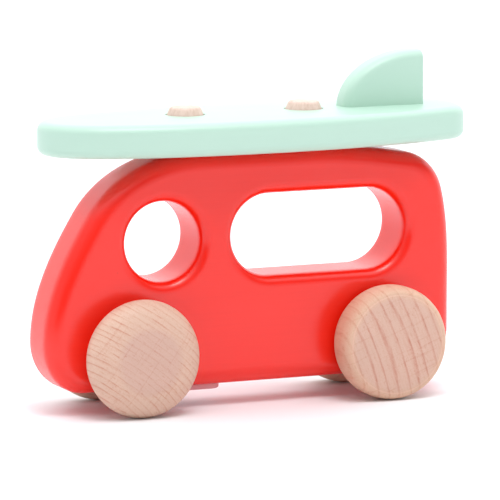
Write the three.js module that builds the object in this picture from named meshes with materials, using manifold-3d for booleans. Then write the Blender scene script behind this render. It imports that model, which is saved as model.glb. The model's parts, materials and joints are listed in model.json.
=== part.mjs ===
// A wooden toy van with a surfboard that lifts off two pegs in its roof.
// Millimetres, +Z up. The nose points to -X, Y runs across, and the origin is on the floor under
// the middle of the toy. The van's left side is at -Y.

import * as THREE from 'three';
import { mergeVertices } from 'three/addons/utils/BufferGeometryUtils.js';
import Module from 'manifold-3d';

const wasm = await Module();
wasm.setup();

// ---- Driving dimensions ------------------------------------------------------------------------

const GAP = 0.3; // air left between two pieces that touch
const OVERRUN = 2; // how far a cutting tool runs past the face it cuts

// Van body: one slab of wood, thick across Y.
const BODY_THICKNESS = 23;
const BODY_ROUNDOVER = 6;
const BELLY_Z = 7.4;
const ROOF_Z = 88.5;

// Its outline, from the front of the belly up over the nose and back round to the belly.
const BODY_OUTLINE = [
  { at: [-64.6, BELLY_Z], heading: 180 },
  { at: [-79.3, 24], heading: 90 },
  { at: [-63.4, 67.8], heading: 58 },
  { at: [-21.6, ROOF_Z], heading: 0 },
  { at: [18.4, ROOF_Z], heading: 0 },
  { at: [56.6, 84.4], heading: -10 },
  { at: [69.9, 71.4], heading: -76 },
  { at: [72.5, 33.5], heading: -90 },
  { at: [72.5, 21.5], heading: -90 },
  { at: [58.5, BELLY_Z], heading: 180 },
];

// Windows cut right through the body. A round one is a slot with no straight part.
const WINDOW_ROUNDOVER = 4;
const CAB_WINDOW = { x: -36.6, z: 58.4, radius: 13.8, straight: 0 };
const REAR_WINDOW = { x: 21.6, z: 58.7, radius: 14.2, straight: 36.8 };

// Wheels. The front pair is a touch larger and rounded right over, the rear pair only at the rim.
const FRONT_WHEEL = { x: -48.3, radius: 20.3, thickness: 14, rimAcross: 8.5, rimAlong: 6.9 };
const REAR_WHEEL = { x: 44.7, radius: 19.9, thickness: 12.8, rimAcross: 2.5, rimAlong: 5.3 };
const WHEEL_BORE_DEPTH = 9;
const WHEEL_TO_BODY = 1.2;

// Axles: plain dowels, running free in the body and glued into the wheels.
const AXLE_RADIUS = 3;
const AXLE_RUNNING_GAP = 0.4;

// Roof pegs.
const PEG_RADIUS = 6.5;
const PEG_TOP_RADIUS = 5;
const PEG_X = [-24.3, 20.2];
const PEG_DEPTH_IN_ROOF = 12;
const PEG_ABOVE_DECK = 3.5;
const PEG_HOLE_GAP = 0.6;

// Surfboard: it lies on the roof and its holes drop over the pegs.
const BOARD_THICKNESS = 11.3;
const BOARD_ROUNDOVER = 3;
const BOARD_UNDERSIDE_Z = ROOF_Z + GAP;
const DECK_Z = BOARD_UNDERSIDE_Z + BOARD_THICKNESS;

// Its left half seen from above, from nose to tail. The right half is the mirror image.
const BOARD_OUTLINE = [
  { at: [-77.7, 0], heading: -90 },
  { at: [-60.1, -18.8], heading: -18 },
  { at: [-1.1, -26.6], heading: 0 },
  { at: [69.9, -16.2], heading: 20 },
  { at: [77.9, -7.2], heading: 81 },
  { at: [79.3, 0], heading: 90 },
];

// Fin: a quarter of an ellipse standing on the deck, held by two dowels. Its blank is rounded over
// all round and longer and deeper than the fin, which is sawn off level with the deck and the rear.
const FIN_REAR_X = 63.8;
const FIN_LENGTH = 30;
const FIN_TOP_LENGTH = 2.8;
const FIN_HEIGHT = 19.4;
const FIN_THICKNESS = 10;
const FIN_ROUNDOVER = 3;
const FIN_OFFCUT = 5;
const DOWEL_RADIUS = 2;
const DOWEL_X = [45, 58];
const DOWEL_LENGTH = 13;

// Pad under the belly, behind the front wheels, in a shallow seat sawn straight across.
const PAD = { x: -25.4, length: 25, width: 11, thickness: 2.2, corner: 4, roundover: 0.7 };
const PAD_SEAT_DEPTH = 0.5;

// ---- Colours -----------------------------------------------------------------------------------

function paint(color, roughness) {
  return new THREE.MeshStandardMaterial({ color, roughness, metalness: 0 });
}

const redPaint = paint(0xe9332e, 0.35);
const mintPaint = paint(0xc4e8d6, 0.45);
const beech = paint(0xdcb597, 0.6);
const dowelBeech = paint(0xd8ae86, 0.65);
const padFelt = paint(0xe39a9a, 0.7);

// ---- Outlines ----------------------------------------------------------------------------------

// How long a Bezier handle is, as part of the chord, to turn by this angle along nearly a round arc.
function handleShare(turn) {
  return turn < 1e-6 ? 1 / 3 : (2 / 3) * Math.tan(turn / 4) / Math.sin(turn / 2);
}

// Joins knots into one smooth outline. A knot is a point and its heading in degrees from +X.
function smoothOutline(knots) {
  const shape = new THREE.Shape();
  shape.moveTo(...knots[0].at);
  for (let i = 0; i + 1 < knots.length; i++) {
    const start = new THREE.Vector2(...knots[i].at);
    const end = new THREE.Vector2(...knots[i + 1].at);
    const headings = [knots[i].heading, knots[i + 1].heading].map(THREE.MathUtils.degToRad);
    const difference = headings[1] - headings[0];
    const turn = Math.abs(Math.atan2(Math.sin(difference), Math.cos(difference)));
    if (turn < 1e-6) {
      shape.lineTo(end.x, end.y);
      continue;
    }
    const reach = start.distanceTo(end) * handleShare(turn);
    const leave = new THREE.Vector2(reach, 0).rotateAround(new THREE.Vector2(), headings[0]).add(start);
    const arrive = new THREE.Vector2(-reach, 0).rotateAround(new THREE.Vector2(), headings[1]).add(end);
    shape.bezierCurveTo(leave.x, leave.y, arrive.x, arrive.y, end.x, end.y);
  }
  return shape;
}

// Adds the mirror image of a half outline that starts and ends on the X axis.
function mirrored(knots) {
  const other = knots.slice(0, -1).reverse();
  return [...knots, ...other.map(({ at, heading }) => ({ at: [at[0], -at[1]], heading: 180 - heading }))];
}

// A slot with round ends, level along X. Its radius may be grown.
function slotOutline({ x, z, radius, straight }, grow = 0) {
  const shape = new THREE.Shape();
  shape.absarc(x + straight / 2, z, radius + grow, -Math.PI / 2, Math.PI / 2);
  shape.absarc(x - straight / 2, z, radius + grow, Math.PI / 2, 1.5 * Math.PI);
  return shape;
}

// A rectangle with round corners, centred on (x, 0).
function padOutline({ x, length, width, corner }) {
  const shape = new THREE.Shape();
  const reachX = length / 2 - corner;
  const reachY = width / 2 - corner;
  shape.absarc(x + reachX, -reachY, corner, -Math.PI / 2, 0);
  shape.absarc(x + reachX, reachY, corner, 0, Math.PI / 2);
  shape.absarc(x - reachX, reachY, corner, Math.PI / 2, Math.PI);
  shape.absarc(x - reachX, -reachY, corner, Math.PI, 1.5 * Math.PI);
  return shape;
}

// Side view of the fin's blank: a long curved front edge that runs into a short level top.
function finOutline() {
  const shape = new THREE.Shape();
  const frontX = FIN_REAR_X - FIN_LENGTH;
  const crestX = FIN_REAR_X - FIN_TOP_LENGTH;
  const topZ = DECK_Z + FIN_HEIGHT;
  shape.moveTo(frontX, DECK_Z - FIN_OFFCUT);
  shape.lineTo(FIN_REAR_X + FIN_OFFCUT, DECK_Z - FIN_OFFCUT);
  shape.lineTo(FIN_REAR_X + FIN_OFFCUT, topZ);
  shape.absellipse(crestX, DECK_Z, crestX - frontX, FIN_HEIGHT, Math.PI / 2, Math.PI);
  return shape;
}

// ---- Solids ------------------------------------------------------------------------------------

// A slab of the outline, centred on the plane it is drawn in, with both edges rounded over.
function slab(outline, thickness, roundover, curveSegments, bevelSegments) {
  const depth = thickness - 2 * roundover;
  const geometry = new THREE.ExtrudeGeometry(outline, {
    depth,
    steps: 1,
    curveSegments,
    bevelThickness: roundover,
    bevelSize: roundover,
    bevelOffset: -roundover,
    bevelSegments,
  });
  return geometry.translate(0, 0, -depth / 2);
}

// A tool that cuts a window and rounds over its rims: it is waisted, and widest at both ends.
function windowTool(window) {
  const depth = BODY_THICKNESS - 2 * WINDOW_ROUNDOVER + 0.02;
  const geometry = new THREE.ExtrudeGeometry(slotOutline(window, WINDOW_ROUNDOVER), {
    depth,
    steps: 1,
    curveSegments: 13,
    bevelThickness: WINDOW_ROUNDOVER,
    bevelSize: -WINDOW_ROUNDOVER,
    bevelSegments: 3,
  });
  return upright(geometry.translate(0, 0, -depth / 2));
}

// Turns what is drawn in the XY plane up into the XZ plane.
function upright(geometry) {
  return geometry.rotateX(Math.PI / 2);
}

// A rod along Y between two places, or along Z when it is upright.
function rodAlongY(radius, start, end, segments = 24) {
  return new THREE.CylinderGeometry(radius, radius, end - start, segments).translate(0, (start + end) / 2, 0);
}

function rodAlongZ(radius, start, end, segments = 24) {
  return upright(rodAlongY(radius, start, end, segments));
}

function toSolid(geometry) {
  const bare = geometry.clone();
  bare.deleteAttribute('normal');
  bare.deleteAttribute('uv');
  const merged = mergeVertices(bare, 1e-4);
  const vertProperties = new Float32Array(merged.attributes.position.array);
  const triVerts = new Uint32Array(merged.index.array);
  return new wasm.Manifold(new wasm.Mesh({ numProp: 3, vertProperties, triVerts }));
}

function toGeometry(solid) {
  const mesh = solid.getMesh();
  const geometry = new THREE.BufferGeometry();
  geometry.setAttribute('position', new THREE.BufferAttribute(mesh.vertProperties, 3));
  geometry.setIndex(new THREE.BufferAttribute(mesh.triVerts, 1));
  return geometry;
}

function cutAway(geometry, tools) {
  return toGeometry(tools.reduce((solid, tool) => solid.subtract(toSolid(tool)), toSolid(geometry)));
}

// ---- Pieces ------------------------------------------------------------------------------------

function vanBody() {
  const blank = upright(slab(smoothOutline(BODY_OUTLINE), BODY_THICKNESS, BODY_ROUNDOVER, 8, 4));
  const windows = [CAB_WINDOW, REAR_WINDOW].map(windowTool);
  const axleReach = BODY_THICKNESS / 2 + OVERRUN;
  const axleBores = [FRONT_WHEEL, REAR_WHEEL].map(({ x, radius }) =>
    rodAlongY(AXLE_RADIUS + AXLE_RUNNING_GAP, -axleReach, axleReach).translate(x, 0, radius));
  const pegBores = PEG_X.map((x) =>
    rodAlongZ(PEG_RADIUS + GAP, ROOF_Z - PEG_DEPTH_IN_ROOF - GAP, ROOF_Z + OVERRUN).translate(x, 0, 0));
  const seatHeight = PAD_SEAT_DEPTH + OVERRUN;
  const padSeat = new THREE.BoxGeometry(PAD.length + 2 * GAP, 2 * axleReach, seatHeight);
  padSeat.translate(PAD.x, 0, BELLY_Z + PAD_SEAT_DEPTH - seatHeight / 2);
  return cutAway(blank, [...windows, ...axleBores, ...pegBores, padSeat]);
}

// A dowel standing in the roof, tapered above the deck to a soft rounded top.
function roofPeg() {
  const bottom = ROOF_Z - PEG_DEPTH_IN_ROOF;
  const top = DECK_Z + PEG_ABOVE_DECK;
  const chamfer = 0.8;
  const crown = 0.9;
  const profile = [
    [0, bottom],
    [PEG_RADIUS - chamfer, bottom],
    [PEG_RADIUS, bottom + chamfer],
    [PEG_RADIUS, DECK_Z],
    [PEG_TOP_RADIUS, top - crown],
    [PEG_TOP_RADIUS - crown, top - crown / 4],
    [0, top],
  ];
  return upright(new THREE.LatheGeometry(profile.map((point) => new THREE.Vector2(...point)), 28));
}

function surfboard() {
  const outline = smoothOutline(mirrored(BOARD_OUTLINE));
  const blank = slab(outline, BOARD_THICKNESS, BOARD_ROUNDOVER, 8, 3);
  blank.translate(0, 0, BOARD_UNDERSIDE_Z + BOARD_THICKNESS / 2);
  const holeRadius = PEG_RADIUS + PEG_HOLE_GAP;
  const pegHoles = PEG_X.map((x) =>
    rodAlongZ(holeRadius, BOARD_UNDERSIDE_Z - OVERRUN, DECK_Z + OVERRUN, 28).translate(x, 0, 0));
  return cutAway(blank, [...pegHoles, ...dowelBores()]);
}

function fin() {
  const blank = upright(slab(finOutline(), FIN_THICKNESS, FIN_ROUNDOVER, 9, 3));
  const reach = 2 * FIN_OFFCUT;
  const deckCut = new THREE.BoxGeometry(2 * FIN_LENGTH, 2 * FIN_THICKNESS, reach);
  deckCut.translate(FIN_REAR_X - FIN_LENGTH / 2, 0, DECK_Z + GAP - reach / 2);
  const rearCut = new THREE.BoxGeometry(reach, 2 * FIN_THICKNESS, 3 * FIN_HEIGHT);
  rearCut.translate(FIN_REAR_X + reach / 2, 0, DECK_Z);
  return cutAway(blank, [deckCut, rearCut, ...dowelBores()]);
}

// The fin's dowels sit half in the board and half in the fin.
function finDowel() {
  return rodAlongZ(DOWEL_RADIUS, DECK_Z - DOWEL_LENGTH / 2, DECK_Z + DOWEL_LENGTH / 2, 16);
}

function dowelBores() {
  const reach = DOWEL_LENGTH / 2 + GAP;
  return DOWEL_X.map((x) =>
    rodAlongZ(DOWEL_RADIUS + GAP, DECK_Z - reach, DECK_Z + reach, 16).translate(x, 0, 0));
}

// A wheel turned about Y, with its outer face at +Y and a blind bore in its inner face.
function wheel({ radius, thickness, rimAcross, rimAlong }) {
  const half = thickness / 2;
  const boreRadius = AXLE_RADIUS + GAP;
  const quarter = 4;
  const rim = [];
  for (let i = 0; i <= quarter; i++) {
    const angle = (Math.PI / 2) * (i / quarter);
    rim.push([
      radius - rimAcross * (1 - Math.cos(angle)),
      half - rimAlong * (1 - Math.sin(angle)),
    ]);
  }
  const innerRim = rim.map(([out, along]) => [out, -along]).reverse();
  const profile = [
    [0, WHEEL_BORE_DEPTH - half],
    [boreRadius, WHEEL_BORE_DEPTH - half],
    [boreRadius, -half],
    ...innerRim,
    ...rim,
    [0, half],
  ];
  return new THREE.LatheGeometry(profile.map((point) => new THREE.Vector2(...point)), 36);
}

function axle() {
  const reach = BODY_THICKNESS / 2 + WHEEL_TO_BODY + WHEEL_BORE_DEPTH - GAP;
  return rodAlongY(AXLE_RADIUS, -reach, reach);
}

function bellyPad() {
  const pad = slab(padOutline(PAD), PAD.thickness, PAD.roundover, 3, 2);
  return pad.translate(0, 0, BELLY_Z + PAD_SEAT_DEPTH - GAP - PAD.thickness / 2);
}

// ---- The toy -----------------------------------------------------------------------------------

const group = new THREE.Group();

function add(name, geometry, material, position = [0, 0, 0], turnX = 0) {
  const mesh = new THREE.Mesh(geometry, material);
  mesh.name = name;
  mesh.position.set(...position);
  mesh.rotation.x = turnX;
  group.add(mesh);
}

add('van_body', vanBody(), redPaint);
add('belly_pad', bellyPad(), padFelt);

['front', 'rear'].forEach((end, i) => {
  add(`${end}_roof_peg`, roofPeg(), beech, [PEG_X[i], 0, 0]);
});

add('surfboard', surfboard(), mintPaint);
add('surfboard_fin', fin(), mintPaint);

['front', 'rear'].forEach((end, i) => {
  add(`${end}_fin_dowel`, finDowel(), dowelBeech, [DOWEL_X[i], 0, 0]);
});

Object.entries({ front: FRONT_WHEEL, rear: REAR_WHEEL }).forEach(([end, kind]) => {
  const middleY = BODY_THICKNESS / 2 + WHEEL_TO_BODY + kind.thickness / 2;
  add(`${end}_axle`, axle(), dowelBeech, [kind.x, 0, kind.radius]);
  add(`${end}_left_wheel`, wheel(kind), beech, [kind.x, -middleY, kind.radius], Math.PI);
  add(`${end}_right_wheel`, wheel(kind), beech, [kind.x, middleY, kind.radius]);
});

export default group;
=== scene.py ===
"""The looks of a wooden toy surf van: a red slab body on four beech wheels, with a mint surfboard on
its roof pegs. Metres, +Z up, nose towards -X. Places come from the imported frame."""

import functools
import json
import math

import bmesh
import bpy
import numpy as np
from mathutils import Matrix, Vector
from mathutils.geometry import delaunay_2d_cdt


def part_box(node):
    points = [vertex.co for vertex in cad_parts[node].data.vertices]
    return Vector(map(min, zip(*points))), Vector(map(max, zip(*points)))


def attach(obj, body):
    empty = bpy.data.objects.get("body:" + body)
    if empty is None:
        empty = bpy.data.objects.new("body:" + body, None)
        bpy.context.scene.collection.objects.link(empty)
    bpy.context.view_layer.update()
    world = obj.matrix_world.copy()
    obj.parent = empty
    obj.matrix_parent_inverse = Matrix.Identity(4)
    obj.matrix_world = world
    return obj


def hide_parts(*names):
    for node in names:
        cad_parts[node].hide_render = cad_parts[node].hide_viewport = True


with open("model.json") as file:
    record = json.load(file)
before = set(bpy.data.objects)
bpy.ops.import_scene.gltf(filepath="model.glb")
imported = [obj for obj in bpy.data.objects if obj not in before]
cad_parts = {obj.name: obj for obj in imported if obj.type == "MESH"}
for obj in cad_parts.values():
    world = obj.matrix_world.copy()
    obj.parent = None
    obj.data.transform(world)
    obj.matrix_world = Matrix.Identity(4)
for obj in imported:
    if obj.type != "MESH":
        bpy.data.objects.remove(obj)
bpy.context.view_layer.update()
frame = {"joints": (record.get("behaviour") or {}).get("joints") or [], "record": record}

# ---- Sizes ---------------------------------------------------------------------------------------

MM = 0.001
BODY_LOW, BODY_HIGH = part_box("van_body")
BOARD_LOW, BOARD_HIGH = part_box("surfboard")
FIN_LOW, FIN_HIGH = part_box("surfboard_fin")
PAD_LOW, PAD_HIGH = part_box("belly_pad")
BODY_THICKNESS = BODY_HIGH.y - BODY_LOW.y
DECK_Z = BOARD_HIGH.z
JOINTS = {joint["name"]: joint for joint in frame["joints"]}
OPENINGS = {opening["name"]: opening["box_m"] for opening in frame["record"]["physics"]["openings"]}

BODY_ROUNDOVER = 6 * MM
WINDOW_ROUNDOVER = 4 * MM
WINDOWS = {"cab_window": (13.8 * MM, 0), "rear_window": (14.2 * MM, 36.8 * MM)}  # radius, straight part
AXLE_BORE_RADIUS = 3.4 * MM
AXLE_BORE_ROUNDOVER = 0.5 * MM

BOARD_ROUNDOVER = 3 * MM
DECK_CROWN = 0.6 * MM  # how far the deck swells in its middle
DECK_CROWN_REACH = 16 * MM  # and how far in from the edge it takes to get there
PEG_HOLE_RADIUS = 6.8 * MM
PEG_HOLE_ROUNDOVER = 0.4 * MM
FIN_ROUNDOVER = 3 * MM
FIN_TOP_LENGTH = 2.8 * MM
FIN_OFFCUT = 7 * MM  # how far the fin's blank runs past the deck and the rear, where it is sawn off
FIN_BLANK_CORNER = 4 * MM
SAWN_EDGE_BEVEL = 0.35 * MM

PEG_TOP_RADIUS = 5.2 * MM
PEG_TOP_ROUNDING = 0.9 * MM
PEG_CROWN = 0.25 * MM
PEG_FOOT_CHAMFER = 0.8 * MM
AXLE_CHAMFER = 0.5 * MM
FIN_PIN_CHAMFER = 0.3 * MM
PAD_CORNER_RADIUS = 4 * MM
PAD_ROUNDOVER = 0.7 * MM

WHEEL_RIMS = {  # how far the rounded rim reaches across the face and along the axle
    "front": (8.5 * MM, 6.9 * MM),
    "rear": (2.5 * MM, 5.3 * MM),
}
WHEEL_RIM_STEPS = 16
WHEEL_SHOULDER = 0.25 * MM  # a ring of the face, just inside the rim, which keeps its shading flat
WHEEL_BORE_RADIUS = 3.3 * MM
WHEEL_BORE_DEPTH = 9 * MM
WHEEL_BORE_CHAMFER = 0.3 * MM

# Outline knots: x, then z or y, in millimetres, and the heading there in degrees from +X.
BODY_KNOTS = [
    (-64.6, 7.4, 180), (-79.3, 24, 90), (-63.4, 67.8, 58), (-21.6, 88.5, 0), (18.4, 88.5, 0),
    (56.6, 84.4, -10), (69.9, 71.4, -76), (72.5, 33.5, -90), (72.5, 21.5, -90), (58.5, 7.4, 180),
]
HALF_BOARD_KNOTS = [
    (-77.7, 0, -90), (-60.1, -18.8, -18), (-1.1, -26.6, 0), (69.9, -16.2, 20), (77.9, -7.2, 81),
    (79.3, 0, 90),
]

# Mesh fineness
OUTLINE_SPACING = 1 * MM
PROFILE_SPACING = 2 * MM
HOLDING_RING = 0.15 * MM  # a ring of vertices just inside each flat, which keeps its shading flat
ROUNDOVER_STEPS = 10
FLAT_GRID = 4 * MM
TURNED_SEGMENTS = 120
SHARP_ANGLE = math.radians(38)


# ---- Outlines ------------------------------------------------------------------------------------

def handle_share(turn):
    """How long a Bezier handle is, as part of the chord, to turn by this angle along nearly an arc."""
    return 1 / 3 if turn < 1e-6 else 2 / 3 * math.tan(turn / 4) / math.sin(turn / 2)


def smooth_outline(knots):
    """Points round a closed outline through the knots."""
    points = []
    for (x0, y0, heading0), (x1, y1, heading1) in zip(knots, knots[1:] + knots[:1]):
        start, end = np.array([x0, y0]) * MM, np.array([x1, y1]) * MM
        angles = [math.radians(heading0), math.radians(heading1)]
        leaving, arriving = [np.array([math.cos(a), math.sin(a)]) for a in angles]
        turn = abs(math.remainder(angles[1] - angles[0], 2 * math.pi))
        chord = np.linalg.norm(end - start)
        reach = chord * handle_share(turn)
        t = np.linspace(0, 1, max(2, round(chord / OUTLINE_SPACING)), endpoint=False)[:, None]
        points.append(
            (1 - t) ** 3 * start + 3 * (1 - t) ** 2 * t * (start + reach * leaving)
            + 3 * (1 - t) * t**2 * (end - reach * arriving) + t**3 * end
        )
    return np.concatenate(points)


def mirrored(half_knots):
    """A whole outline from the half of it that starts and ends on the X axis."""
    other_half = [(x, -y, 180 - heading) for x, y, heading in half_knots[-2:0:-1]]
    return half_knots + other_half


def arc(centre, radii, start, end):
    """Points along an elliptical arc, without its last one. Angles are in degrees."""
    angles = np.radians([start, end])
    count = max(4, round(abs(angles[1] - angles[0]) * max(radii) / OUTLINE_SPACING))
    a = np.linspace(*angles, count, endpoint=False)
    return np.column_stack([centre[0] + radii[0] * np.cos(a), centre[1] + radii[1] * np.sin(a)])


def straight(start, end):
    """Points along a line, without its last one."""
    count = max(1, round(math.dist(start, end) / OUTLINE_SPACING))
    return np.linspace(start, end, count, endpoint=False)


def slot_outline(centre, radius, length=0):
    """A slot with round ends, or a circle if it has no straight length."""
    x, y = centre
    left, right = x - length / 2, x + length / 2
    parts = [arc((right, y), (radius, radius), -90, 90), arc((left, y), (radius, radius), 90, 270)]
    if length:
        parts.insert(1, straight((right, y + radius), (left, y + radius)))
        parts.append(straight((left, y - radius), (right, y - radius)))
    return np.concatenate(parts)


def outward(points):
    """The unit normal at each point of a closed outline, pointing out of it."""
    before, after = points - np.roll(points, 1, 0), np.roll(points, -1, 0) - points
    size_before, size_after = [np.linalg.norm(side, axis=1)[:, None] for side in (before, after)]
    tangent = before / size_before * size_after + after / size_after * size_before
    tangent /= np.linalg.norm(tangent, axis=1)[:, None]
    area = np.sum(points[:, 0] * np.roll(points[:, 1], -1) - points[:, 1] * np.roll(points[:, 0], -1))
    return np.column_stack([tangent[:, 1], -tangent[:, 0]]) * np.sign(area)


# ---- Meshes --------------------------------------------------------------------------------------

def edge_profile(thickness, roundover):
    """(inset, height) pairs from just inside the top face, over the edges, to the bottom face."""
    half = thickness / 2
    angles = np.linspace(0, math.pi / 2, ROUNDOVER_STEPS + 1)
    upper = [(roundover + HOLDING_RING, half)]
    upper += [(roundover * (1 - math.sin(a)), half - roundover * (1 - math.cos(a))) for a in angles]
    side_steps = max(1, round((thickness - 2 * roundover) / PROFILE_SPACING))
    side = [(0, h) for h in np.linspace(half - roundover, roundover - half, side_steps + 1)[1:-1]]
    return upper + side + [(inset, -height) for inset, height in reversed(upper)]


def inside(points, outline):
    """Which of the points lie inside a closed outline, by counting crossings."""
    start, end = outline, np.roll(outline, -1, 0)
    x, y = points[:, 0:1], points[:, 1:2]
    spans = (start[:, 1] > y) != (end[:, 1] > y)
    rise = np.where(start[:, 1] == end[:, 1], 1, end[:, 1] - start[:, 1])
    crossing = start[:, 0] + (y - start[:, 1]) / rise * (end[:, 0] - start[:, 0])
    return np.sum(spans & (x < crossing), axis=1) % 2 == 1


def on_flat(points, loops):
    """Which of the points lie inside the first loop and outside the others."""
    found = inside(points, loops[0])
    for hole in loops[1:]:
        found &= ~inside(points, hole)
    return found


def fill_flat(loops):
    """Triangles over a flat face: inside the first loop and outside the others.
    Gives the points, which begin with the loops' own, and the triangles."""
    edges, first = [], 0
    for loop in loops:
        edges += [(first + i, first + (i + 1) % len(loop)) for i in range(len(loop))]
        first += len(loop)
    rim = np.concatenate(loops)
    ranges = [np.arange(low, high, FLAT_GRID) for low, high in zip(loops[0].min(0), loops[0].max(0))]
    grid = np.stack(np.meshgrid(*ranges), -1).reshape(-1, 2)
    clearance = np.min(np.linalg.norm(grid[:, None] - rim[None], axis=2), axis=1)
    points = np.concatenate([rim, grid[on_flat(grid, loops) & (clearance > FLAT_GRID / 2)]])
    _, _, cells, sources, _, _ = delaunay_2d_cdt([Vector(p) for p in points], edges, [], 0, 1e-8)
    triangles = np.array([[sources[i][0] for i in cell] for cell in cells])
    return points, triangles[on_flat(points[triangles].mean(1), loops)].tolist()


def new_piece(name, vertices, faces):
    """A smooth-shaded mesh object whose faces all point out."""
    mesh = bpy.data.meshes.new(name)
    mesh.from_pydata([tuple(v) for v in vertices], [], faces)
    shaped = bmesh.new()
    shaped.from_mesh(mesh)
    bmesh.ops.recalc_face_normals(shaped, faces=shaped.faces)
    shaped.to_mesh(mesh)
    shaped.free()
    piece = bpy.data.objects.new(name, mesh)
    bpy.context.scene.collection.objects.link(piece)
    shade(piece)
    return piece


def shade(piece):
    piece.data.shade_smooth()
    piece.data.set_sharp_from_angle(angle=SHARP_ANGLE)


def plate(name, thickness, outer, holes, place):
    """A slab with rounded edges. outer is (outline, roundover) and so is each hole through it.
    place turns an array of (u, v, height) into points in the row frame."""
    vertices, faces, rims = [], [], []
    for number, (outline, roundover) in enumerate([outer] + holes):
        normals = outward(outline) * (1 if number == 0 else -1)
        rings = [
            np.column_stack([outline - normals * inset, np.full(len(outline), height)])
            for inset, height in edge_profile(thickness, roundover)
        ]
        first, count = len(vertices), len(outline)
        for ring in rings:
            vertices += list(ring)
        for r in range(len(rings) - 1):
            for i in range(count):
                a, b = first + r * count + i, first + r * count + (i + 1) % count
                faces.append((a, b, b + count, a + count))
        rims.append((rings[0][:, :2], first, first + (len(rings) - 1) * count))
    loops, top_starts, bottom_starts = zip(*rims)
    points, triangles = fill_flat(loops)
    rim_size = sum(len(loop) for loop in loops)
    for starts, height in ((top_starts, thickness / 2), (bottom_starts, -thickness / 2)):
        index = [start + i for loop, start in zip(loops, starts) for i in range(len(loop))]
        index += range(len(vertices), len(vertices) + len(points) - rim_size)
        vertices += [(u, v, height) for u, v in points[rim_size:]]
        faces += [[index[i] for i in triangle] for triangle in triangles]
    return new_piece(name, place(np.array(vertices)), faces)


def standing(points):
    """Places a plate drawn from the side: its thickness runs across the toy."""
    return points[:, [0, 2, 1]]


def lying(middle_z):
    """Places a plate drawn from above, with its middle at this height."""
    return lambda points: points + [0, 0, middle_z]


def turned(name, profile, centre, axis):
    """A solid turned about its local Z from (radius, along) points that start and end on that axis.
    Its local Z then points along axis."""
    ring_angles = np.linspace(0, 2 * math.pi, TURNED_SEGMENTS, endpoint=False)
    vertices, faces = [(0, 0, profile[0][1]), (0, 0, profile[-1][1])], []
    for radius, along in profile[1:-1]:
        vertices += [(radius * math.cos(a), radius * math.sin(a), along) for a in ring_angles]
    last = len(vertices) - TURNED_SEGMENTS
    for i in range(TURNED_SEGMENTS):
        j = (i + 1) % TURNED_SEGMENTS
        faces += [(0, 2 + i, 2 + j), (1, last + j, last + i)]
        for ring in range(2, last, TURNED_SEGMENTS):
            faces.append((ring + i, ring + j, ring + j + TURNED_SEGMENTS, ring + i + TURNED_SEGMENTS))
    piece = new_piece(name, vertices, faces)
    turn = Vector(axis).to_track_quat("Z", "Y").to_matrix().to_4x4()
    piece.matrix_world = Matrix.Translation(centre) @ turn
    return piece


def evenly(start, end, longest):
    """Profile points from start to end, no further apart than longest, without the last."""
    count = max(1, math.ceil(math.dist(start, end) / longest))
    return [tuple(p) for p in np.linspace(start, end, count, endpoint=False)]


def polyline(corners, longest=PROFILE_SPACING):
    """A profile through the corners, with points between them on its long parts."""
    parts = [evenly(a, b, longest) for a, b in zip(corners, corners[1:])]
    return [point for part in parts for point in part] + [corners[-1]]


def rounded_corner(corner, before, after, size, steps=5):
    """Profile points that round off a corner between the directions of its neighbours."""
    corner, before, after = [np.array(p, float) for p in (corner, before, after)]
    start = corner + (before - corner) / np.linalg.norm(before - corner) * size
    end = corner + (after - corner) / np.linalg.norm(after - corner) * size
    t = np.linspace(0, 1, steps + 1)[:, None]
    return [tuple(p) for p in (1 - t) ** 2 * start + 2 * t * (1 - t) * corner + t**2 * end]


# ---- Material helpers ----------------------------------------------------------------------------

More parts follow.
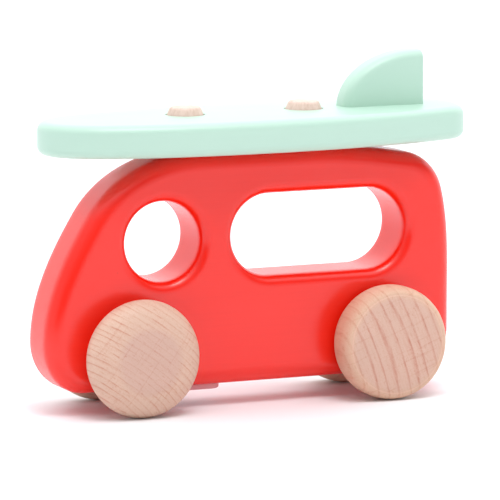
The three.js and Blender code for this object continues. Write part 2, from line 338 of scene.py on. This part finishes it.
class Shading:
    """A material being built: short calls that add nodes and link them."""

    def __init__(self, name, spin=0):
        self.material = bpy.data.materials.new(name)
        self.material.use_nodes = True
        self.nodes, self.links = self.material.node_tree.nodes, self.material.node_tree.links
        self.surface = self.nodes["Principled BSDF"]
        coordinates = self.nodes.new("ShaderNodeTexCoord").outputs
        self.object_coordinates, self.object_normal = coordinates["Object"], coordinates["Normal"]
        if spin:
            self.object_coordinates = self.placed((1, 1, 1), rotation=(0, 0, -math.radians(spin)))

    def link(self, value, socket):
        if isinstance(value, bpy.types.NodeSocket):
            self.links.new(value, socket)
        else:
            socket.default_value = value

    def placed(self, per_metre, shift=(0, 0, 0), rotation=(0, 0, 0)):
        """Object coordinates with this many units per metre along each axis, shifted and turned."""
        node = self.nodes.new("ShaderNodeMapping")
        self.link(self.object_coordinates, node.inputs["Vector"])
        node.inputs["Scale"].default_value = per_metre
        node.inputs["Location"].default_value = shift
        node.inputs["Rotation"].default_value = rotation
        return node.outputs[0]

    def noise(self, per_metre, shift=(0, 0, 0), detail=2.0, roughness=0.55):
        """Noise with about this many features per metre along each axis."""
        node = self.nodes.new("ShaderNodeTexNoise")
        self.link(self.placed(per_metre, shift), node.inputs["Vector"])
        node.inputs["Scale"].default_value = 1
        node.inputs["Detail"].default_value = detail
        node.inputs["Roughness"].default_value = roughness
        return node.outputs[0]

    def cells(self, per_metre):
        """Distance to the nearest of many scattered points, and that point's random number."""
        node = self.nodes.new("ShaderNodeTexVoronoi")
        self.link(self.placed((per_metre, per_metre, per_metre)), node.inputs["Vector"])
        node.inputs["Scale"].default_value = 1
        return node.outputs["Distance"], self.component(node.outputs["Color"], 0)

    def math(self, operation, a, b=0.0):
        node = self.nodes.new("ShaderNodeMath")
        node.operation = operation
        self.link(a, node.inputs[0])
        self.link(b, node.inputs[1])
        return node.outputs[0]

    def plus(self, *values):
        return functools.reduce(lambda a, b: self.math("ADD", a, b), values)

    def times(self, *values):
        return functools.reduce(lambda a, b: self.math("MULTIPLY", a, b), values)

    def spread(self, value, low, high, to_low=0.0, to_high=1.0):
        """value from low..high to to_low..to_high, clamped."""
        node = self.nodes.new("ShaderNodeMapRange")
        for number, socket in zip((value, low, high, to_low, to_high), node.inputs):
            self.link(number, socket)
        return node.outputs[0]

    def component(self, vector, axis):
        node = self.nodes.new("ShaderNodeSeparateXYZ")
        self.link(vector, node.inputs[0])
        return node.outputs[axis]

    def mix(self, amount, a, b, blend="MIX"):
        """Colour a with this much of colour b blended over it."""
        node = self.nodes.new("ShaderNodeMix")
        node.data_type, node.blend_type = "RGBA", blend
        colour_a, colour_b = [socket for socket in node.inputs if socket.type == "RGBA"]
        self.link(amount, node.inputs["Factor"])
        for value, socket in ((a, colour_a), (b, colour_b)):
            self.link(value if isinstance(value, bpy.types.NodeSocket) else (*value, 1), socket)
        return next(socket for socket in node.outputs if socket.type == "RGBA")

    def bump(self, height, distance, strength=1.0, under=None):
        node = self.nodes.new("ShaderNodeBump")
        self.link(height, node.inputs["Height"])
        node.inputs["Distance"].default_value = distance
        node.inputs["Strength"].default_value = strength
        if under is not None:
            self.link(under, node.inputs["Normal"])
        return node.outputs[0]

    def finish(self, colour, roughness, normal, settings):
        self.link(colour, self.surface.inputs["Base Color"])
        self.link(roughness, self.surface.inputs["Roughness"])
        self.link(normal, self.surface.inputs["Normal"])
        for name, value in settings.items():
            self.surface.inputs[name].default_value = value
        return self.material


def scaled(colour, factor):
    return tuple(min(1, channel * factor) for channel in colour)


# ---- Materials -----------------------------------------------------------------------------------

RING_LINE_SPACING = 0.55 * MM
RING_LINE_FADE = (0.3, 0.8)  # how much the surface faces sideways where they start to fade and are gone
NICKS_PER_METRE = 130
NICK_RADIUS = (0.03, 0.07)  # its solid and its soft radius, as parts of the distance between nicks
NICK_SHARE = 0.07  # how many of the places for a nick have one


def painted_wood(name, light, dark, grain_strength, nick_strength, roughness, ior):
    """Thin satin paint on a board whose fibres run along X and show through faintly. Its growth rings
    show as fine lines, one beside the other across Y, where the surface doesn't face sideways."""
    m = Shading(name)
    flow = m.noise((9, 0, 70), detail=4)
    wander = m.noise((30, 260, 30))
    fibres = m.noise((40, 900, 1500), detail=3, roughness=0.6)
    clouds = m.noise((25, 25, 45))
    ripples = m.noise((300, 300, 300))

    across = m.component(m.object_coordinates, 1)
    phase = m.plus(m.times(across, math.pi / RING_LINE_SPACING), m.times(flow, 6), m.times(wander, 9))
    facing_side = m.math("ABSOLUTE", m.component(m.object_normal, 1))
    shown = m.spread(facing_side, *RING_LINE_FADE, 1, 0)
    ring_lines = m.times(m.math("ABSOLUTE", m.math("SINE", phase)), shown)
    grain = m.plus(m.times(fibres, 0.6), m.times(ring_lines, 0.35))
    tone = m.plus(m.times(grain, grain_strength), m.times(clouds, 0.35))
    colour = m.mix(m.spread(tone, 0.1, 0.9), light, dark)

    distance, number = m.cells(NICKS_PER_METRE)
    chosen = m.math("GREATER_THAN", number, 1 - NICK_SHARE)
    nick = m.times(m.spread(distance, *NICK_RADIUS, nick_strength, 0), chosen)
    colour = m.mix(m.times(nick, 0.5), colour, scaled(dark, 0.6))

    sheen = m.spread(clouds, 0, 1, roughness - 0.06, roughness + 0.08)
    normal = m.bump(fibres, 0.02 * MM, 0.5)
    normal = m.bump(ring_lines, 0.012 * MM, 0.6, normal)
    normal = m.bump(ripples, 0.05 * MM, 0.5, normal)
    normal = m.bump(m.math("SUBTRACT", 1, nick), 0.06 * MM, 0.6, normal)
    return m.finish(colour, sheen, normal, {"IOR": ior})


def beech(
    name, ring_spacing, spin, seed, light, dark,
    face_radius=1.0, face_lines=1.0, rim_lines=1.0, face_tint=(1, 1, 1), rim_tint_and_light=(1, 1, 1),
    waviness=0.3 * MM, unbroken=0.05, crease_highlight=0.0,
):
    """Bare turned beech with its fibres along local Z, so that its end faces show rings and rays.
    Inside face_radius and outside it the lines may differ in strength and the wood in tint; the rim's
    tint is partly painted light, which makes the rim lighter than the face. Between them a paler ring
    is a painted highlight along the crease. unbroken is how much of a ring's line is left in its gaps."""
    m = Shading(name, spin)
    shift = (seed * 3.7, seed * 1.9, seed * 5.3)
    across, along = m.component(m.object_coordinates, 0), m.component(m.object_coordinates, 1)
    radius = m.math("SQRT", m.plus(m.times(across, across), m.times(along, along)))
    on_face = m.spread(radius, face_radius - 1.6 * MM, face_radius + 0.8 * MM, 1, 0)

    # Growth rings: where a point lies between one ring's line and the next, from 0 to 1
    warp = m.times(m.noise((45, 45, 6), shift), 1.1 * MM)
    wobble = m.times(m.noise((420, 260, 20), shift), waviness)
    curve = m.times(along, along, 5)
    uneven = m.times(m.noise((170, 1, 1), shift, detail=1), 1.3)
    place = m.plus(across, curve, warp, wobble)
    ring = m.math("FRACT", m.plus(m.math("DIVIDE", place, ring_spacing), uneven))

    # How strongly each feature darkens the wood
    gaps = m.noise((900, 210, 60), shift, detail=3, roughness=0.65)
    line = m.times(m.spread(ring, 0.7, 0.88), m.spread(ring, 0.9, 1, 1, 0))
    line = m.times(line, m.spread(gaps, 0.38, 0.62, unbroken, 1))
    fine_line = m.spread(m.noise((1700, 130, 60), shift, roughness=0.6), 0.42, 0.7)
    ray = m.spread(m.noise((60, 900, 150), shift), 0.58, 0.7)
    fleck = m.spread(m.noise((1300, 420, 200), shift), 0.6, 0.72)
    pores = m.noise((2600, 2600, 350), shift, roughness=0.7)
    lines = m.plus(m.spread(ring, 0.35, 0.85, 0, 0.12), m.times(line, 0.6), m.times(fine_line, 0.2))
    lines = m.times(lines, m.spread(on_face, 0, 1, rim_lines, face_lines))
    pore_tone = m.spread(pores, 0.3, 0.75, -0.16, 0.2)
    tone = m.plus(lines, m.times(ray, 0.2), m.times(fleck, 0.32), pore_tone)

    colour = m.mix(tone, light, dark)
    blotches = m.noise((80, 80, 50), shift)
    colour = m.mix(m.spread(blotches, 0.35, 0.7, 0, 0.35), colour, scaled(light, 0.9))
    # The rim's tint is partly the wood's own and partly painted light, so the rim is lighter than the
    # face.
    colour = m.mix(1.0, colour, m.mix(on_face, rim_tint_and_light, face_tint), "MULTIPLY")
    # Painted highlight: a paler ring along the crease between the face and the rim.
    if crease_highlight:
        off_crease = m.math("ABSOLUTE", m.math("SUBTRACT", radius, face_radius))
        on_crease = m.spread(off_crease, 0.05 * MM, 0.35 * MM, crease_highlight, 0)
        colour = m.mix(on_crease, colour, scaled(light, 1.3))

    roughness = m.spread(pores, 0.3, 0.7, 0.5, 0.62)
    normal = m.bump(pores, 0.04 * MM, 0.5)
    normal = m.bump(m.math("SUBTRACT", 1, lines), 0.015 * MM, 0.5, normal)
    return m.finish(colour, roughness, normal, {"IOR": 1.45})


def peg_beech(name, seed, light, dark):
    """Dowel wood: fine streaks up its sides, which end as specks on its top."""
    m = Shading(name)
    shift = (seed * 3.1, seed * 2.3, seed * 1.7)
    streaks = m.noise((1100, 1100, 70), shift, detail=3, roughness=0.6)
    bands = m.noise((350, 350, 30), shift)
    tone = m.plus(m.spread(streaks, 0.4, 0.75, 0, 0.6), m.spread(bands, 0.45, 0.7, 0, 0.35))
    roughness = m.spread(streaks, 0.3, 0.7, 0.5, 0.6)
    return m.finish(m.mix(tone, light, dark), roughness, m.bump(streaks, 0.03 * MM, 0.5), {"IOR": 1.45})


def pad_rubber(name, light, dark):
    m = Shading(name)
    speckle = m.noise((2500, 2500, 2500), detail=3)
    clouds = m.noise((120, 120, 120))
    colour = m.mix(m.spread(clouds, 0.3, 0.7), light, dark)
    return m.finish(colour, m.spread(speckle, 0.3, 0.7, 0.55, 0.75), m.bump(speckle, 0.05 * MM, 0.5), {})


def floor_paint(name, light, dark):
    m = Shading(name)
    mottle = m.noise((6, 6, 6))
    colour = m.mix(m.spread(mottle, 0.3, 0.7), light, dark)
    roughness = m.spread(m.noise((3, 3, 3), detail=3), 0.3, 0.7, 0.6, 0.65)
    return m.finish(colour, roughness, m.bump(mottle, 0.01 * MM, 0.1), {"Specular IOR Level": 0.2})


RED = painted_wood(
    "red_paint", (0.94, 0.014, 0.003), (0.86, 0.010, 0.002),
    grain_strength=0.7, nick_strength=1, roughness=0.22, ior=1.57,
)
MINT = painted_wood(
    "mint_paint", (0.49, 0.69, 0.575), (0.46, 0.66, 0.545),
    grain_strength=0.3, nick_strength=0, roughness=0.32, ior=1.5,
)
PAD_COLOURS = (0.8, 0.36, 0.38), (0.72, 0.29, 0.3)
FLOOR_COLOURS = (0.90, 0.90, 0.92), (0.88, 0.88, 0.90)
PEG_COLOURS = (0.80, 0.60, 0.52), (0.62, 0.42, 0.33)
BEECH_COLOURS = (0.70, 0.46, 0.35), (0.53, 0.19, 0.12)
DOWEL_RING_SPACING = 1.1 * MM
DOWEL_SPIN = 25  # degrees that the grain is turned per step of the seed
# The rim tints are partly painted light; crease is the strength of a painted highlight ring.
WHEEL_LOOKS = {
    "front": {
        "rim_lines": 0.95, "face_lines": 0.5, "waviness": 0.45 * MM,
        "rim_tint_and_light": (1, 1.03, 1.04), "face_tint": (0.93, 0.92, 0.97),
    },
    "rear": {
        "rim_lines": 0.55, "face_lines": 0.9, "waviness": 0.15 * MM, "unbroken": 0.5,
        "rim_tint_and_light": (1.02, 1.01, 0.95), "face_tint": (0.97, 0.97, 1), "crease_highlight": 0.25,
    },
}
WHEEL_GRAINS = {  # how far apart the rings are, how far the grain is turned in degrees, and its seed
    ("front", "left"): (2.1 * MM, 53, 11),
    ("front", "right"): (2.6 * MM, 100, 12),
    ("rear", "left"): (4.0 * MM, 21, 13),
    ("rear", "right"): (2.8 * MM, 60, 14),
}


# ---- Pieces --------------------------------------------------------------------------------------

def settle(piece, material, node, body):
    """Gives a piece its material, hides the CAD node that it stands for, and puts it on the body it
    rides on.
    """
    piece.data.materials.append(material)
    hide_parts(node)
    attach(piece, body)


def van_body():
    holes = []
    for name, (radius, length) in WINDOWS.items():
        low, high = OPENINGS[name]
        centre = ((low[0] + high[0]) / 2, (low[2] + high[2]) / 2)
        holes.append((slot_outline(centre, radius, length), WINDOW_ROUNDOVER))
    for joint in ("front_wheels_roll", "rear_wheels_roll"):
        x, _, z = JOINTS[joint]["pos_m"]
        holes.append((slot_outline((x, z), AXLE_BORE_RADIUS), AXLE_BORE_ROUNDOVER))
    outer = (smooth_outline(BODY_KNOTS), BODY_ROUNDOVER)
    piece = plate("painted_van_body", BODY_THICKNESS, outer, holes, standing)
    settle(piece, RED, "van_body", "van")


def belly_pad():
    centre, half = (PAD_LOW + PAD_HIGH) / 2, (PAD_HIGH - PAD_LOW) / 2
    reach_x, reach_y = half.x - PAD_CORNER_RADIUS, half.y - PAD_CORNER_RADIUS
    corners = []
    for quarter, (side_x, side_y) in enumerate([(1, -1), (1, 1), (-1, 1), (-1, -1)]):
        corner = (centre.x + side_x * reach_x, centre.y + side_y * reach_y)
        corners.append(arc(corner, (PAD_CORNER_RADIUS,) * 2, 90 * quarter - 90, 90 * quarter))
    parts = []
    for corner, following in zip(corners, corners[1:] + corners[:1]):
        parts += [corner, straight(corner[-1], following[0])[1:]]
    outline = np.concatenate(parts)
    piece = plate("soft_belly_pad", 2 * half.z, (outline, PAD_ROUNDOVER), [], lying(centre.z))
    settle(piece, pad_rubber("pad_rubber", *PAD_COLOURS), "belly_pad", "van")


def roof_peg(end, seed):
    """A dowel through the board, tapered above the deck to a soft, slightly crowned top."""
    low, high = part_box(f"{end}_roof_peg")
    radius = (high.x - low.x) / 2
    shoulder = (PEG_TOP_RADIUS, high.z - PEG_CROWN)
    top = rounded_corner(shoulder, (radius, DECK_Z), (0, high.z), PEG_TOP_ROUNDING)
    foot = [(0, low.z), (radius - PEG_FOOT_CHAMFER, low.z), (radius, low.z + PEG_FOOT_CHAMFER)]
    profile = polyline(foot + [(radius, DECK_Z), top[0]])
    profile += top[1:-1] + polyline([top[-1], (0, high.z)])
    centre = ((low.x + high.x) / 2, 0, 0)
    piece = turned(f"{end}_peg_turning", profile, centre, (0, 0, 1))
    material = peg_beech(f"peg_beech_{end}", seed, *PEG_COLOURS)
    settle(piece, material, f"{end}_roof_peg", "van")


def surfboard():
    holes = []
    for end in ("front", "rear"):
        low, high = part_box(f"{end}_roof_peg")
        holes.append((slot_outline(((low.x + high.x) / 2, 0), PEG_HOLE_RADIUS), PEG_HOLE_ROUNDOVER))
    outer = (smooth_outline(mirrored(HALF_BOARD_KNOTS)), BOARD_ROUNDOVER)
    middle = lying((BOARD_LOW.z + BOARD_HIGH.z) / 2)
    piece = plate("painted_surfboard", BOARD_HIGH.z - BOARD_LOW.z, outer, holes, middle)
    for vertex in piece.data.vertices:
        height = (vertex.co.z - BOARD_LOW.z) / (BOARD_HIGH.z - BOARD_LOW.z)
        if height > 0.5:
            edge_distance = np.min(np.linalg.norm(outer[0] - vertex.co.xy, axis=1))
            inset = min(1, edge_distance / DECK_CROWN_REACH)
            vertex.co.z += DECK_CROWN * (1 - (1 - inset) ** 2) * (2 * height - 1)
    piece.data.update()
    settle(piece, MINT, "surfboard", "surfboard")


def saw_off(shaped, place, facing, bevel=0.0):
    """Cuts away what lies past a plane, closes the cut, and may break its sharp edge."""
    everything = shaped.verts[:] + shaped.edges[:] + shaped.faces[:]
    cut = bmesh.ops.bisect_plane(
        shaped, geom=everything, plane_co=place, plane_no=facing, clear_outer=True
    )
    cut_edges = [item for item in cut["geom_cut"] if isinstance(item, bmesh.types.BMEdge)]
    bmesh.ops.contextual_create(shaped, geom=cut_edges)
    if bevel:
        bmesh.ops.bevel(
            shaped, geom=cut_edges, offset=bevel, segments=3, profile=0.5, affect="EDGES"
        )
        sawn_face = max(shaped.faces, key=lambda f: f.normal.dot(Vector(facing)) * f.calc_area())
        bmesh.ops.inset_individual(shaped, faces=[sawn_face], thickness=HOLDING_RING)


def surfboard_fin():
    """The fin is shaped as a larger blank, then sawn off at the rear and level with the deck."""
    front, rear, top = FIN_LOW.x, FIN_HIGH.x, FIN_HIGH.z
    left, right = front + FIN_BLANK_CORNER, rear + FIN_OFFCUT - FIN_BLANK_CORNER
    low, high = DECK_Z - FIN_OFFCUT + FIN_BLANK_CORNER, top - FIN_BLANK_CORNER
    crest = rear - FIN_TOP_LENGTH
    round_corner = (FIN_BLANK_CORNER, FIN_BLANK_CORNER)
    outline = np.concatenate([
        arc((left, low), round_corner, 180, 270),
        straight((left, DECK_Z - FIN_OFFCUT), (right, DECK_Z - FIN_OFFCUT)),
        arc((right, low), round_corner, -90, 0),
        straight((rear + FIN_OFFCUT, low), (rear + FIN_OFFCUT, high)),
        arc((right, high), round_corner, 0, 90),
        straight((right, top), (crest, top)),
        arc((crest, DECK_Z), (crest - front, top - DECK_Z), 90, 180),
        straight((front, DECK_Z), (front, low)),
    ])
    piece = plate("painted_fin", FIN_HIGH.y - FIN_LOW.y, (outline, FIN_ROUNDOVER), [], standing)
    shaped = bmesh.new()
    shaped.from_mesh(piece.data)
    saw_off(shaped, (rear, 0, 0), (1, 0, 0), SAWN_EDGE_BEVEL)
    saw_off(shaped, (0, 0, DECK_Z), (0, 0, -1))
    bmesh.ops.recalc_face_normals(shaped, faces=shaped.faces)
    shaped.to_mesh(piece.data)
    shaped.free()
    shade(piece)
    settle(piece, MINT, "surfboard_fin", "surfboard")


def rod(name, node, axis, chamfer, seed, body):
    """A plain dowel with its ends chamfered, as long and thick as its CAD node."""
    low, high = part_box(node)
    size = high - low
    half, radius = max(size) / 2, min(size) / 2
    corners = [(0, -half), (radius - chamfer, -half), (radius, chamfer - half)]
    profile = polyline(corners + [(r, -along) for r, along in reversed(corners)])
    piece = turned(name, profile, (low + high) / 2, axis)
    spin = DOWEL_SPIN * seed
    material = beech(f"dowel_beech_{node}", DOWEL_RING_SPACING, spin, seed, *BEECH_COLOURS)
    settle(piece, material, node, body)


def wheel_profile(radius, half, rim_across, rim_along):
    """(radius, along) points round a wheel with a blind bore on its inner face, which is at -half.
    The rim is a quarter of an ellipse on both faces."""
    rim_height = rim_along - WHEEL_SHOULDER / 2
    outer_rim = []
    for angle in np.linspace(0, math.pi / 2, WHEEL_RIM_STEPS + 1):
        inset, drop = rim_across * (1 - math.cos(angle)), rim_height * (1 - math.sin(angle))
        outer_rim.append((radius - inset, half - WHEEL_SHOULDER / 2 - drop))
    inner_rim = [(r, -along) for r, along in outer_rim]
    flat = radius - rim_across - WHEEL_SHOULDER
    bore_end = WHEEL_BORE_DEPTH - half
    profile = polyline([
        (0, bore_end),
        (WHEEL_BORE_RADIUS, bore_end),
        (WHEEL_BORE_RADIUS, WHEEL_BORE_CHAMFER - half),
        (WHEEL_BORE_RADIUS + WHEEL_BORE_CHAMFER, -half),
        (flat, -half),
    ])
    profile += inner_rim[::-1] + evenly(inner_rim[0], outer_rim[0], PROFILE_SPACING)[1:] + outer_rim
    return profile + polyline([(flat, half), (0, half)]), flat


def wheel(end, side):
    node = f"{end}_{side}_wheel"
    low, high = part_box(node)
    profile, flat = wheel_profile((high.z - low.z) / 2, (high.y - low.y) / 2, *WHEEL_RIMS[end])
    outward_y = -1 if side == "left" else 1
    piece = turned(f"{node}_turning", profile, (low + high) / 2, (0, outward_y, 0))
    ring_spacing, spin, seed = WHEEL_GRAINS[end, side]
    material = beech(
        f"wheel_beech_{end}_{side}", ring_spacing, spin, seed, *BEECH_COLOURS,
        face_radius=flat, **WHEEL_LOOKS[end],
    )
    settle(piece, material, node, f"{end}_wheelset")


van_body()
belly_pad()
surfboard()
surfboard_fin()
for number, end in enumerate(("front", "rear")):
    roof_peg(end, number + 1)
    rod(f"{end}_axle_rod", f"{end}_axle", (0, 1, 0), AXLE_CHAMFER, number + 3, f"{end}_wheelset")
    rod(f"{end}_fin_pin", f"{end}_fin_dowel", (0, 0, 1), FIN_PIN_CHAMFER, number + 5, "surfboard")
for end, side in WHEEL_GRAINS:
    wheel(end, side)


# ---- Studio --------------------------------------------------------------------------------------

# The camera and the lamp are placed by azimuth and elevation in degrees, as direction() takes them.
CAMERA_LENS = 353.5
CAMERA_TARGET = Vector((-0.05, 0, 52.16)) * MM
CAMERA_AZIMUTH, CAMERA_ELEVATION = -23.62, 8.45
CAMERA_DISTANCE = 1.7
LAMP_AZIMUTH, LAMP_ELEVATION = -5, 68
LAMP_DISTANCE, LAMP_SIZE, LAMP_WATTS = 1.2, 0.5, 4
FLOOR_REACH = 8

# How bright the room's walls are between these azimuths, in this order: back left, left, front left,
# front right, and from the right round to the back. The last two pairs are the sines of elevations
# between which the lower wall blends into the upper one, and that into the ceiling.
WALL_EDGES = (-120, -60, 0, 90)
EDGE_SOFTNESS = 20
LOWER_WALL = (1.35, 0.9, 0.15, 1.1, 1.4)
UPPER_WALL = (1.3, 0.7, 0.5, 0.2, 1.6)
CEILING = 2.0
UPPER_WALL_FROM = (0.1, 0.5)
CEILING_FROM = (0.5, 0.9)
ROOM_COLOUR = (0.955, 0.975, 1)


def direction(azimuth, elevation):
    """Where something stands, seen from the toy: azimuth 0 is the -Y side and 90 the +X side."""
    a, e = math.radians(azimuth), math.radians(elevation)
    return Vector((math.sin(a) * math.cos(e), -math.cos(a) * math.cos(e), math.sin(e)))


def camera():
    data = bpy.data.cameras.new("camera")
    data.sensor_width = 36
    data.lens = CAMERA_LENS
    data.clip_end = 100
    towards = direction(CAMERA_AZIMUTH, CAMERA_ELEVATION)
    holder = bpy.data.objects.new("camera", data)
    bpy.context.scene.collection.objects.link(holder)
    holder.location = CAMERA_TARGET + towards * CAMERA_DISTANCE
    holder.rotation_euler = towards.to_track_quat("Z", "Y").to_euler()
    bpy.context.scene.camera = holder


def floor():
    shaped = bmesh.new()
    bmesh.ops.create_grid(shaped, x_segments=8, y_segments=8, size=FLOOR_REACH)
    mesh = bpy.data.meshes.new("floor")
    shaped.to_mesh(mesh)
    shaped.free()
    ground = bpy.data.objects.new("floor", mesh)
    bpy.context.scene.collection.objects.link(ground)
    mesh.materials.append(floor_paint("studio_floor", *FLOOR_COLOURS))


def lamp():
    """A soft round lamp above the toy."""
    data = bpy.data.lights.new("key", "AREA")
    data.shape, data.size, data.energy = "DISK", LAMP_SIZE, LAMP_WATTS
    holder = bpy.data.objects.new("key", data)
    bpy.context.scene.collection.objects.link(holder)
    towards = direction(LAMP_AZIMUTH, LAMP_ELEVATION)
    holder.location = towards * LAMP_DISTANCE
    holder.rotation_euler = towards.to_track_quat("Z", "Y").to_euler()


def surroundings():
    """Light from a bright ceiling and back, and from a front that is dim low down on the left and high
    up on the right."""
    world = bpy.data.worlds.new("studio")
    world.use_nodes = True
    bpy.context.scene.world = world
    nodes, links = world.node_tree.nodes, world.node_tree.links
    split = nodes.new("ShaderNodeSeparateXYZ")
    links.new(nodes.new("ShaderNodeTexCoord").outputs["Generated"], split.inputs[0])

    def combine(operation, a, b):
        node = nodes.new("ShaderNodeMath")
        node.operation = operation
        for value, socket in zip((a, b), node.inputs):
            if isinstance(value, bpy.types.NodeSocket):
                links.new(value, socket)
            else:
                socket.default_value = value
        return node.outputs[0]

    def ease(value, start, end, at_start, at_end):
        node = nodes.new("ShaderNodeMapRange")
        node.interpolation_type = "SMOOTHSTEP"
        links.new(value, node.inputs[0])
        for number, socket in zip((start, end, at_start, at_end), node.inputs[1:]):
            socket.default_value = number
        return node.outputs[0]

    def walls(levels):
        """The brightness all round at one height: it changes softly at each of the edges."""
        level = levels[0]
        for edge, before, after in zip(WALL_EDGES, levels, levels[1:]):
            start, end = math.radians(edge - EDGE_SOFTNESS), math.radians(edge + EDGE_SOFTNESS)
            level = combine("ADD", level, ease(azimuth, start, end, 0, after - before))
        return level

    def blend(height_range, below, above):
        share = ease(split.outputs[2], *height_range, 0, 1)
        return combine("ADD", below, combine("MULTIPLY", share, combine("SUBTRACT", above, below)))

    azimuth = combine("ARCTAN2", split.outputs[0], combine("MULTIPLY", split.outputs[1], -1))
    level = blend(UPPER_WALL_FROM, walls(LOWER_WALL), walls(UPPER_WALL))
    links.new(blend(CEILING_FROM, level, CEILING), nodes["Background"].inputs["Strength"])
    nodes["Background"].inputs["Color"].default_value = (*ROOM_COLOUR, 1)


camera()
floor()
surroundings()
lamp()
bpy.context.scene.view_settings.view_transform = "Standard"
